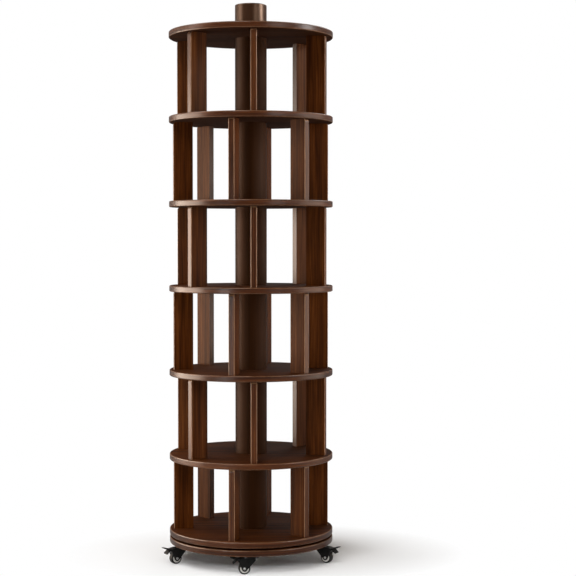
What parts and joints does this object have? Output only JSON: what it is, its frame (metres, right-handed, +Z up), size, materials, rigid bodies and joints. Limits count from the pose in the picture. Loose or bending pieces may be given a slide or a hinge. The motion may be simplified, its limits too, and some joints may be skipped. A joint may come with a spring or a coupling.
{
  "type": "revolving bookcase",
  "caption": "Tall round bookcase tower of open tiers with short radial dividers, turning on a ring turntable above a round base on braked swivel casters.",
  "frame": {"origin": "on the floor under the turning axis", "axes": "+Z up along the turning axis, front faces -Y, +X to the right as seen from the front"},
  "size_m": [0.6488, 0.6, 2.033],
  "materials": {
    "walnut": "satin lacquered dark walnut",
    "bronze_paint": "satin dark bronze paint",
    "beech": "bare beech",
    "steel": "zinc plated",
    "nylon": "natural nylon",
    "black_steel": "black powder coat",
    "black_plastic": "moulded black plastic",
    "tyre_black": "black rubber",
    "hub_grey": "light grey moulded plastic"
  },
  "bodies": {
    "base": {"base_board": "walnut", "caster_plates": "black_steel", "caster_screws": "steel", "central_axle": "steel", "lower_race": "steel", "base_screws": "steel", "axle_washer": "steel", "axle_nut": "steel"},
    "tower": {"upper_race": "steel", "upper_race_screws": "steel", "axle_bushes": "nylon", "bottom_board": "walnut", "shelf_board_1": "walnut", "shelf_board_2": "walnut", "shelf_board_3": "walnut", "shelf_board_4": "walnut", "shelf_board_5": "walnut", "top_board": "walnut", "top_post": "bronze_paint", "top_cap": "bronze_paint", "column_tube_1": "bronze_paint", "column_tube_2": "bronze_paint", "column_tube_3": "bronze_paint", "column_tube_4": "bronze_paint", "column_tube_5": "bronze_paint", "column_tube_6": "bronze_paint", "dividers_tier_1": "walnut", "dividers_tier_2": "walnut", "dividers_tier_3": "walnut", "dividers_tier_4": "walnut", "dividers_tier_5": "walnut", "dividers_tier_6": "walnut", "divider_dowels": "beech"},
    "cage": {"ball_cage": "nylon", "race_balls": "steel"},
    "caster_1": {"caster_fork_1": "black_steel", "wheel_axle_1": "steel"},
    "wheel_1": {"wheel_hub_1": "hub_grey", "wheel_tyre_1": "tyre_black"},
    "lever_1": {"brake_lever_1": "black_plastic"},
    "caster_2": {"caster_fork_2": "black_steel", "wheel_axle_2": "steel"},
    "wheel_2": {"wheel_hub_2": "hub_grey", "wheel_tyre_2": "tyre_black"},
    "lever_2": {"brake_lever_2": "black_plastic"},
    "caster_3": {"caster_fork_3": "black_steel", "wheel_axle_3": "steel"},
    "wheel_3": {"wheel_hub_3": "hub_grey", "wheel_tyre_3": "tyre_black"},
    "lever_3": {"brake_lever_3": "black_plastic"},
    "caster_4": {"caster_fork_4": "black_steel", "wheel_axle_4": "steel"},
    "wheel_4": {"wheel_hub_4": "hub_grey", "wheel_tyre_4": "tyre_black"},
    "lever_4": {"brake_lever_4": "black_plastic"},
    "caster_5": {"caster_fork_5": "black_steel", "wheel_axle_5": "steel"},
    "wheel_5": {"wheel_hub_5": "hub_grey", "wheel_tyre_5": "tyre_black"},
    "lever_5": {"brake_lever_5": "black_plastic"}
  },
  "joints": [
    {"name": "tower_turn", "type": "hinge", "parent": "base", "child": "tower", "pos_m": [0, 0, 0.095], "axis": [0, 0, 1], "continuous": true},
    {"name": "cage_turn", "type": "hinge", "parent": "base", "child": "cage", "pos_m": [0, 0, 0.0915], "axis": [0, 0, 1], "continuous": true},
    {"name": "caster_swivel_1", "type": "hinge", "parent": "base", "child": "caster_1", "pos_m": [0, -0.267, 0.058], "axis": [0, 0, 1], "continuous": true},
    {"name": "wheel_spin_1", "type": "hinge", "parent": "caster_1", "child": "wheel_1", "pos_m": [-0.02441, -0.26914, 0.021], "axis": [0.0872, -0.9962, 0], "continuous": true},
    {"name": "brake_press_1", "type": "hinge", "parent": "caster_1", "child": "lever_1", "pos_m": [-0.04035, -0.27053, 0.051], "axis": [0.0872, -0.9962, 0], "range_deg": [0, 18]},
    {"name": "caster_swivel_2", "type": "hinge", "parent": "base", "child": "caster_2", "pos_m": [0.25393, -0.08251, 0.058], "axis": [0, 0, 1], "continuous": true},
    {"name": "wheel_spin_2", "type": "hinge", "parent": "caster_2", "child": "wheel_2", "pos_m": [0.27515, -0.09476, 0.021], "axis": [0.5, 0.866, 0], "continuous": true},
    {"name": "brake_press_2", "type": "hinge", "parent": "caster_2", "child": "lever_2", "pos_m": [0.28901, -0.10276, 0.051], "axis": [0.5, 0.866, 0], "range_deg": [0, 18]},
    {"name": "caster_swivel_3", "type": "hinge", "parent": "base", "child": "caster_3", "pos_m": [0.15694, 0.21601, 0.058], "axis": [0, 0, 1], "continuous": true},
    {"name": "wheel_spin_3", "type": "hinge", "parent": "caster_3", "child": "wheel_3", "pos_m": [0.17134, 0.23583, 0.021], "axis": [-0.809, 0.5878, 0], "continuous": true},
    {"name": "brake_press_3", "type": "hinge", "parent": "caster_3", "child": "lever_3", "pos_m": [0.18074, 0.24877, 0.051], "axis": [-0.809, 0.5878, 0], "range_deg": [0, 18]},
    {"name": "caster_swivel_4", "type": "hinge", "parent": "base", "child": "caster_4", "pos_m": [-0.15694, 0.21601, 0.058], "axis": [0, 0, 1], "continuous": true},
    {"name": "wheel_spin_4", "type": "hinge", "parent": "caster_4", "child": "wheel_4", "pos_m": [-0.17134, 0.23583, 0.021], "axis": [-0.809, -0.5878, 0], "continuous": true},
    {"name": "brake_press_4", "type": "hinge", "parent": "caster_4", "child": "lever_4", "pos_m": [-0.18074, 0.24877, 0.051], "axis": [-0.809, -0.5878, 0], "range_deg": [0, 18]},
    {"name": "caster_swivel_5", "type": "hinge", "parent": "base", "child": "caster_5", "pos_m": [-0.25393, -0.08251, 0.058], "axis": [0, 0, 1], "continuous": true},
    {"name": "wheel_spin_5", "type": "hinge", "parent": "caster_5", "child": "wheel_5", "pos_m": [-0.27515, -0.09476, 0.021], "axis": [0.5, -0.866, 0], "continuous": true},
    {"name": "brake_press_5", "type": "hinge", "parent": "caster_5", "child": "lever_5", "pos_m": [-0.28901, -0.10276, 0.051], "axis": [0.5, -0.866, 0], "range_deg": [0, 18]}
  ],
  "couplings": [
    {"joint": "cage_turn", "follows": "tower_turn", "ratio": 0.5}
  ]
}
